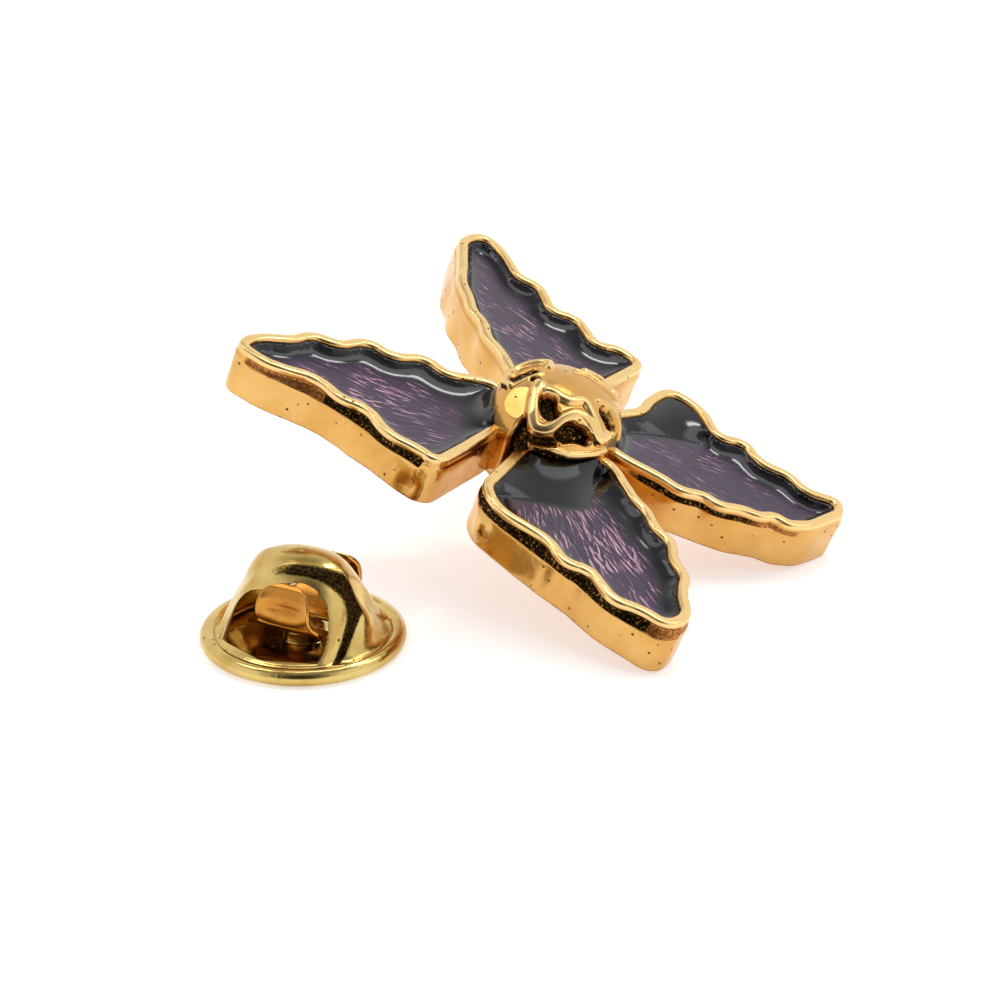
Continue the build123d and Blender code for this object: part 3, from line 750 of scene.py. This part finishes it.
def evaluated(items):
    """Plain mesh of the first object with its modifiers done; the objects are removed."""
    bpy.context.view_layer.update()
    graph = bpy.context.evaluated_depsgraph_get()
    mesh = bpy.data.meshes.new_from_object(items[0].evaluated_get(graph))
    for item in items:
        bpy.data.objects.remove(item)
    return mesh


def cut_out(name, shell, cutters):
    """Mesh of a closed shell with the cutters taken out of it."""
    main, *tools = (link_object(f"{name}_{i}", shell_mesh(f"{name}_{i}", *one))
                    for i, one in enumerate([shell, *cutters]))
    for tool in tools:
        cut = main.modifiers.new("cut", "BOOLEAN")
        cut.operation = "DIFFERENCE"
        cut.solver = "EXACT"
        cut.object = tool
    return evaluated([main, *tools])


def to_place(mesh, place):
    """Moves a mesh's points through one of the placing functions."""
    points = place([tuple(v.co) for v in mesh.vertices])
    mesh.vertices.foreach_set("co", points.ravel())
    mesh.update()


class BROOCH_OT_casting(bpy.types.Operator):
    """Build the gold-plated casting: four rimmed wings, the domed body and the post"""

    bl_idname = "brooch.casting"
    bl_label = "Casting"
    bl_options = {"REGISTER", "UNDO"}

    def execute(self, context):
        sizes, colours = context.scene.brooch_sizes, context.scene.brooch_colours
        # Cast zinc under bright gold plate, hand polished: mirror-like with soft waves. Its last
        # three colours are the browns and flecks of the painted shade.
        plate = polished_plate("gold_plated_zinc_casting", colours.gold, linear("#D09C50"),
                               0.17, 6.0, ("#8E5424", "#CC8C50"), "#C09048")
        points, faces, missed = [], [], []
        for seed, name in enumerate(WINGS):
            shell = tray_shell(name, sizes.hand_wobble / MM, 11 + 7 * seed, len(points))
            for whole, part in zip((points, faces, missed), shell):
                whole += part
        for name, points, faces, missed in (
                ("wing_rims", points, faces, missed), ("domed_body", *body_shell()),
                ("back_post", *lathe(POST_SECTION, 48, "capped"), None)):
            mesh = shell_mesh(name, on_brooch(points), faces)
            if missed is not None:
                add_values(mesh, missed=missed)
            finish_piece(name, mesh, plate, ["brooch_casting"])
        return {"FINISHED"}


class BROOCH_OT_enamel(bpy.types.Operator):
    """Fill the four wings with purple enamel that climbs the rims"""

    bl_idname = "brooch.enamel"
    bl_label = "Enamel"
    bl_options = {"REGISTER", "UNDO"}

    def execute(self, context):
        sizes, colours = context.scene.brooch_sizes, context.scene.brooch_colours
        # Translucent resin enamel over embossed foil: dark, glossy, with fine fanned streaks.
        fill = foil_enamel("translucent_resin_enamel", colours.enamel, colours.streak)
        for name in WINGS:
            points, faces, streaks, thick, bright = enamel_shell(name, sizes)
            mesh = shell_mesh(f"{name}_fill", on_brooch(points), faces)
            layer = mesh.uv_layers.new(name="streaks")
            for loop in mesh.loops:
                layer.data[loop.index].uv = streaks[loop.vertex_index]
            # Painted shade and painted sheen for the enamel's colour.
            add_values(mesh, thick=thick, bright=bright)
            finish_piece(f"{name}_fill", mesh, fill, [f"enamel_{name}"])
        return {"FINISHED"}


class BROOCH_OT_clutch(bpy.types.Operator):
    """Build the round spring clutch that stands beside the brooch"""

    bl_idname = "brooch.clutch"
    bl_label = "Clutch"
    bl_options = {"REGISTER", "UNDO"}

    def execute(self, context):
        sizes, colours = context.scene.brooch_sizes, context.scene.brooch_colours
        # Stamped brass with a thin pale plate: smooth, with faint press marks. Its last three
        # colours are the painted shade in the bell's groove.
        brass = polished_plate("plated_brass_stamping", colours.clutch_gold, linear("#C09A4C"),
                               0.13, 3.0, ("#3E3014", "#8A7438"), "#4A3A1C")
        # Spring brass without plate, browner than the rest.
        bare = polished_plate("spring_brass", linear("#D8A048"), linear("#A8692A"), 0.16, 3.0,
                              ("#8E5424", "#CC8C50"), "#C09048")
        edge = rolled_edge("rolled_edge", 5.44 * MM, sizes.roll_radius, sizes.roll_radius, brass)
        edge.transform(Matrix.Translation(CLUTCH_CENTRE))
        plate = rounded([(0.70, 0.0), (5.40, 0.0), (5.40, 0.40), (1.30, 0.40), (1.25, 1.10),
                         (0.70, 1.10)], 0.12)
        # The windows are punched a little askew.
        arch = smooth_line([(-3.15, 0.95), (-3.22, 1.5), (-3.05, 2.4), (-2.6, 3.2), (-1.95, 3.8),
                            (-1.1, 4.15), (0.0, 4.5), (1.1, 4.82), (2.05, 4.5), (2.75, 3.65),
                            (3.15, 2.5), (3.25, 1.5), (3.15, 0.95)], 5)
        punch = [(x, y, z) for y in (-7.0, 7.0) for x, z in arch]
        bell = cut_out("bell", bell_shell(), [(punch, grid_faces(2, len(arch), ends="capped"))])
        spots = np.array([tuple(v.co) for v in bell.vertices])
        # Painted shade in the arched groove round the window, on the side where y is below 0,
        # fading towards -x.
        groove_shade = np.clip(3 * bell_groove(spots) - 1.3, 0, 1) * np.clip(spots[:, 0] / 2 + 0.8, 0, 1)
        add_values(bell, missed=groove_shade * 0.95 * (spots[:, 1] < 0))
        disc = shell_mesh("clutch_plate", *lathe(plate, 160))
        ears = shell_mesh("clutch_ears", *spring_shell())
        for mesh in (disc, bell, ears):
            to_place(mesh, at_clutch)
        for name, mesh, metal, node in (
                ("clutch_rolled_edge", edge, brass, "clutch_base"),
                ("clutch_plate", disc, brass, "clutch_base"),
                ("clutch_bell", bell, brass, "clutch_cap"),
                ("clutch_ears", ears, bare, "clutch_spring")):
            finish_piece(name, mesh, metal, [node])
        return {"FINISHED"}


def bell_groove(points):
    """How deep the arched groove round the window is at each point of the bell, from 0 to 1."""
    arch = smooth_line([(-3.95, 0.9), (-3.9, 1.6), (-3.7, 2.6), (-3.2, 3.5), (-2.4, 4.25),
                        (-1.4, 4.85), (-0.2, 5.22), (1.1, 5.3), (2.3, 5.0), (3.2, 4.2),
                        (3.75, 3.0), (3.9, 1.9), (3.9, 0.9)], 5)
    flat = np.array(points)[:, [0, 2]]
    return np.exp(-(distance_to_line(flat, arch) / 0.30) ** 2)


def bell_shell():
    """Points and faces of the cap's bell, which is drawn out to a soft ridge on two sides."""
    outer = smooth_line([(5.35, 0.75), (5.10, 0.78), (4.87, 0.95), (4.66, 1.45), (4.38, 2.1),
                         (4.05, 2.75), (3.70, 3.4), (3.40, 4.0), (3.05, 4.5), (2.50, 4.95),
                         (1.6, 5.27), (0.7, 5.40), (0.02, 5.42)], 4)
    inner = smooth_line([(0.02, 5.14), (0.7, 5.12), (1.5, 5.00), (2.30, 4.70), (2.79, 4.30),
                         (3.12, 3.85), (3.42, 3.27), (3.76, 2.62), (4.10, 1.95), (4.38, 1.30),
                         (4.62, 0.72), (4.95, 0.49), (5.35, 0.46)], 4)
    around = 288
    points, faces = lathe(np.vstack([outer, inner]), around)
    points = np.array(points)
    squeeze = np.interp(points[:, 2], [0.8, 1.3, 1.9, 2.6, 3.3, 4.1, 4.6, 5.1, 5.4],
                        [0.0, 0.05, 0.09, 0.115, 0.15, 0.22, 0.26, 0.30, 0.32])
    ridge = np.tile(np.abs(np.sin(2 * math.pi * np.arange(around) / around)) ** 1.15,
                    len(points) // around)
    points[:, :2] *= (1 - squeeze * ridge)[:, None]
    top = slice(0, len(outer) * around)
    points[top, :2] *= (1 - 0.05 * bell_groove(points[top]))[:, None]
    # The crown stands a little higher than drawn.
    points[:, 2] = np.where(points[:, 2] > 0.8, 0.8 + (points[:, 2] - 0.8) * 1.075, points[:, 2])
    return points, faces


def spring_shell():
    """Points and faces of the spring's wide middle and of the cupped ears at its two ends."""
    # Along, height and width of the strip, from the middle to an ear's tip.
    line = smooth_line([
        (0.72, 1.32, 4.9), (1.40, 1.40, 5.2), (2.00, 1.62, 5.1), (2.50, 1.98, 4.7),
        (2.85, 2.32, 4.1), (3.12, 2.66, 3.6), (3.28, 3.04, 3.45), (3.30, 3.50, 3.4),
        (3.14, 4.02, 3.2), (2.78, 4.46, 2.5), (2.40, 4.68, 1.0)], 5)
    points, faces = [], []
    rows, columns, thick = len(line), 25, 0.12
    # The two ears were bent by hand and differ a little.
    for sign, aside, push, lift, wide in ((-1, 0.7, 0, 0, 1), (1, 0.15, 0.25, -0.12, 0.95)):
        start = len(points)
        for layer in (1, -1):
            for k, (along, height, width) in enumerate(line):
                dx, dz, _ = line[min(k + 1, rows - 1)] - line[max(k - 1, 0)]
                length = math.hypot(dx, dz)
                nx, nz = -dz / length, dx / length
                rise = min(1.0, max(0.0, (k - 8) / 12))
                for c in range(columns):
                    t = 2 * c / (columns - 1) - 1
                    cup = max(0.0, min(1.0, (k - 22) / 12, (46 - k) / 10)) * (1 - t * t) * 0.45
                    out = along + nx * (layer * thick + cup) + push * rise
                    points.append((t * width * wide / 2 + aside * rise, sign * out,
                                   height + lift * rise + nz * (layer * thick + cup)))
        second = start + rows * columns
        for first in (start, second):
            faces += grid_faces(rows, columns, closed=False, start=first)
        rim = ([r * columns for r in range(rows)]
               + [(rows - 1) * columns + c for c in range(1, columns)]
               + [r * columns + columns - 1 for r in range(rows - 2, -1, -1)]
               + list(range(columns - 2, 0, -1)))
        for a, b in zip(rim, rim[1:] + rim[:1]):
            faces.append((start + a, start + b, second + b, second + a))
    return points, faces


def aim(item, place, back, right):
    """Puts a lamp or the camera at a place, with its back and right side turned as given."""
    up = back.cross(right).normalized()
    turn = Matrix((up.cross(back), up, back)).transposed()
    item.matrix_world = Matrix.Translation(place) @ turn.to_4x4()


class BROOCH_OT_stage(bpy.types.Operator):
    """Set out the floor, the soft studio light and the camera"""

    bl_idname = "brooch.stage"
    bl_label = "Stage"
    bl_options = {"REGISTER", "UNDO"}

    def execute(self, context):
        scene = context.scene
        scene.view_settings.view_transform = "Standard"
        half = 3.0
        table = bpy.data.meshes.new("studio_floor")
        table.from_pydata([(-half, -half, 0), (half, -half, 0), (half, half, 0),
                           (-half, half, 0)], [], [(0, 1, 2, 3)])
        # Matt white photo table lit from below as well, so that it stays pure white.
        material, tree = new_material("white_photo_table")
        shader = add_node(tree, "ShaderNodeBsdfPrincipled", {
            "Base Color": linear("#F7F7F7"), "Roughness": 0.9, "Specular IOR Level": 0.0,
            "Emission Color": linear("#FFFFFF"), "Emission Strength": 0.46})
        add_node(tree, "ShaderNodeOutputMaterial", {"Surface": shader})
        table.materials.append(material)
        floor = link_object("studio_floor", table)
        scene.world = bpy.data.worlds.new("soft_studio")
        scene.world.use_nodes = True
        tree = scene.world.node_tree
        tree.nodes.clear()
        way = add_node(tree, "ShaderNodeTexCoord").outputs["Generated"]
        # White walls up to about 45 degrees, a dim ceiling, and a dark opening on one side.
        opening = add_node(tree, "ShaderNodeVectorMath", {0: way, 1: (0.496, -0.731, 0.469)},
                           operation="DOT_PRODUCT").outputs["Value"]
        shade = ramp(tree, opening, [(0.0, WHITE), (0.74, WHITE), (0.88, (0.35, 0.35, 0.36, 1)),
                                     (0.97, (0.03, 0.03, 0.032, 1))])
        rise = add_node(tree, "ShaderNodeSeparateXYZ", {"Vector": way}).outputs["Z"]
        rise = ramp(tree, rise, [(0.64, WHITE), (0.86, (0.36, 0.36, 0.37, 1))])
        light = mixed(tree, 1.0, shade, rise, "MULTIPLY")
        back = add_node(tree, "ShaderNodeBackground", {"Color": light, "Strength": 1.05})
        add_node(tree, "ShaderNodeOutputWorld", {"Surface": back})
        right = Vector((0.82459, 0.56561, 0.01141)).normalized()
        # Lamps over the table: place in metres, width and depth, and how bright each looks.
        for name, place, wide, deep, glow in (
                ("overhead_softbox", (0.105, 0.165, 0.46), 0.60, 0.14, 1.8),
                ("overhead_strip", (0.030, 0.245, 0.435), 0.10, 0.04, 16.0),
                ("side_softbox", (-0.22, -0.05, 0.44), 0.16, 0.16, 2.5)):
            light = bpy.data.lights.new(name, "AREA")
            light.shape = "RECTANGLE"
            light.size, light.size_y = wide, deep
            light.energy = glow * math.pi * wide * deep
            aim(link_object(name, light), place, Vector(place).normalized(), right)
        camera = bpy.data.cameras.new("camera")
        camera.lens, camera.sensor_width = 90.1, 36.0
        camera.clip_start, camera.clip_end = 0.005, 10.0
        scene.camera = link_object("camera", camera)
        aim(scene.camera, (0.076806, -0.112682, 0.065725),
            Vector((0.51352, -0.75681, 0.40440)).normalized(), right)
        return {"FINISHED"}


class BROOCH_PT_panel(bpy.types.Panel):
    """Lists the pieces of the brooch and its adjustable sizes and colours"""

    bl_label = "Butterfly Brooch"
    bl_idname = "BROOCH_PT_panel"
    bl_space_type = "VIEW_3D"
    bl_region_type = "UI"
    bl_category = "Brooch"

    def draw(self, context):
        layout = self.layout
        for piece in PIECES:
            layout.operator(piece.bl_idname)
        for group, settings in ((BroochSizes, context.scene.brooch_sizes),
                                (BroochColours, context.scene.brooch_colours)):
            column = layout.column()
            for name in group.__annotations__:
                column.prop(settings, name)


PIECES = [BROOCH_OT_casting, BROOCH_OT_enamel, BROOCH_OT_clutch, BROOCH_OT_stage]
CLASSES = [BroochSizes, BroochColours, *PIECES, BROOCH_PT_panel]


def register():
    """Register the classes and the settings."""
    for item in CLASSES:
        bpy.utils.register_class(item)
    bpy.types.Scene.brooch_sizes = bpy.props.PointerProperty(type=BroochSizes)
    bpy.types.Scene.brooch_colours = bpy.props.PointerProperty(type=BroochColours)


def unregister():
    """Remove the settings and the classes."""
    del bpy.types.Scene.brooch_colours
    del bpy.types.Scene.brooch_sizes
    for item in reversed(CLASSES):
        bpy.utils.unregister_class(item)


def main():
    """Build every piece and the stage."""
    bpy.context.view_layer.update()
    register()
    bpy.ops.brooch.casting()
    bpy.ops.brooch.enamel()
    bpy.ops.brooch.clutch()
    bpy.ops.brooch.stage()
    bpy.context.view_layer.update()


if __name__ == "__main__":
    main()
